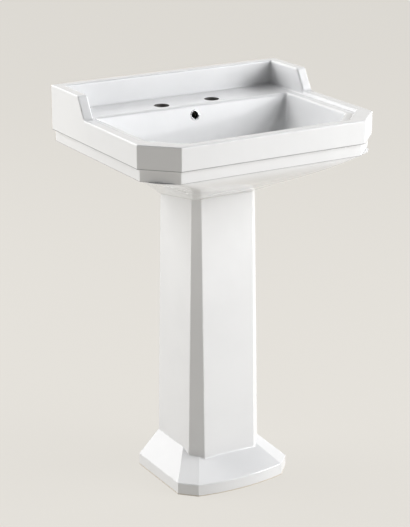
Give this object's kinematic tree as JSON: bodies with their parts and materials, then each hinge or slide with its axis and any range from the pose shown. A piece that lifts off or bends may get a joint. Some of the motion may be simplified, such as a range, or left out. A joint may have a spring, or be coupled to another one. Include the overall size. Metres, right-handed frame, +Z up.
{
  "type": "pedestal sink",
  "caption": "Octagonal stepped ceramic basin with a raised back and tap deck on a tapered hollow pedestal, with a push-open waste and a bottle trap.",
  "frame": {"origin": "on the floor, under the centre of the basin's outline", "axes": "+Z up, +Y towards the wall (the user faces +Y), +X to the user's right"},
  "size_m": [0.6, 0.473, 0.93],
  "materials": {
    "glazed_china": "gloss glaze",
    "chrome_trim": "polished",
    "black_rubber": "matt",
    "foam_seal": "closed-cell foam",
    "silicone": "satin",
    "brass_nut": "machined",
    "steel_pin": "bright drawn",
    "white_plastic": "satin moulded"
  },
  "bodies": {
    "sink": {"basin": "glazed_china", "pedestal": "glazed_china", "seat_gasket": "silicone", "overflow_ring": "chrome_trim", "waste_body": "chrome_trim", "waste_foam": "foam_seal", "waste_washer": "black_rubber", "waste_backnut": "brass_nut", "plug_guide": "white_plastic", "plug_spring": "steel_pin", "trap_inlet_washer": "black_rubber", "trap_inlet_nut": "white_plastic", "trap_body": "white_plastic", "trap_dip_tube": "white_plastic", "outlet_washer": "black_rubber", "outlet_nut": "white_plastic", "outlet_pipe": "white_plastic", "escutcheon": "white_plastic"},
    "plug": {"plug_cap": "chrome_trim", "plug_seal": "black_rubber", "plug_stem": "steel_pin", "plug_clip": "steel_pin"},
    "cup": {"trap_cup": "white_plastic", "trap_cup_seal": "black_rubber"}
  },
  "joints": [
    {"name": "plug_press", "type": "slide", "parent": "sink", "child": "plug", "axis": [0, 0, 1], "range_m": [-0.009, 0], "stiffness_N_per_m": 300, "springref_m": 0.01, "deforming": ["plug_spring"]},
    {"name": "cup_off", "type": "slide", "parent": "sink", "child": "cup", "axis": [0, 0, -1], "range_m": [0, 0.06]}
  ]
}
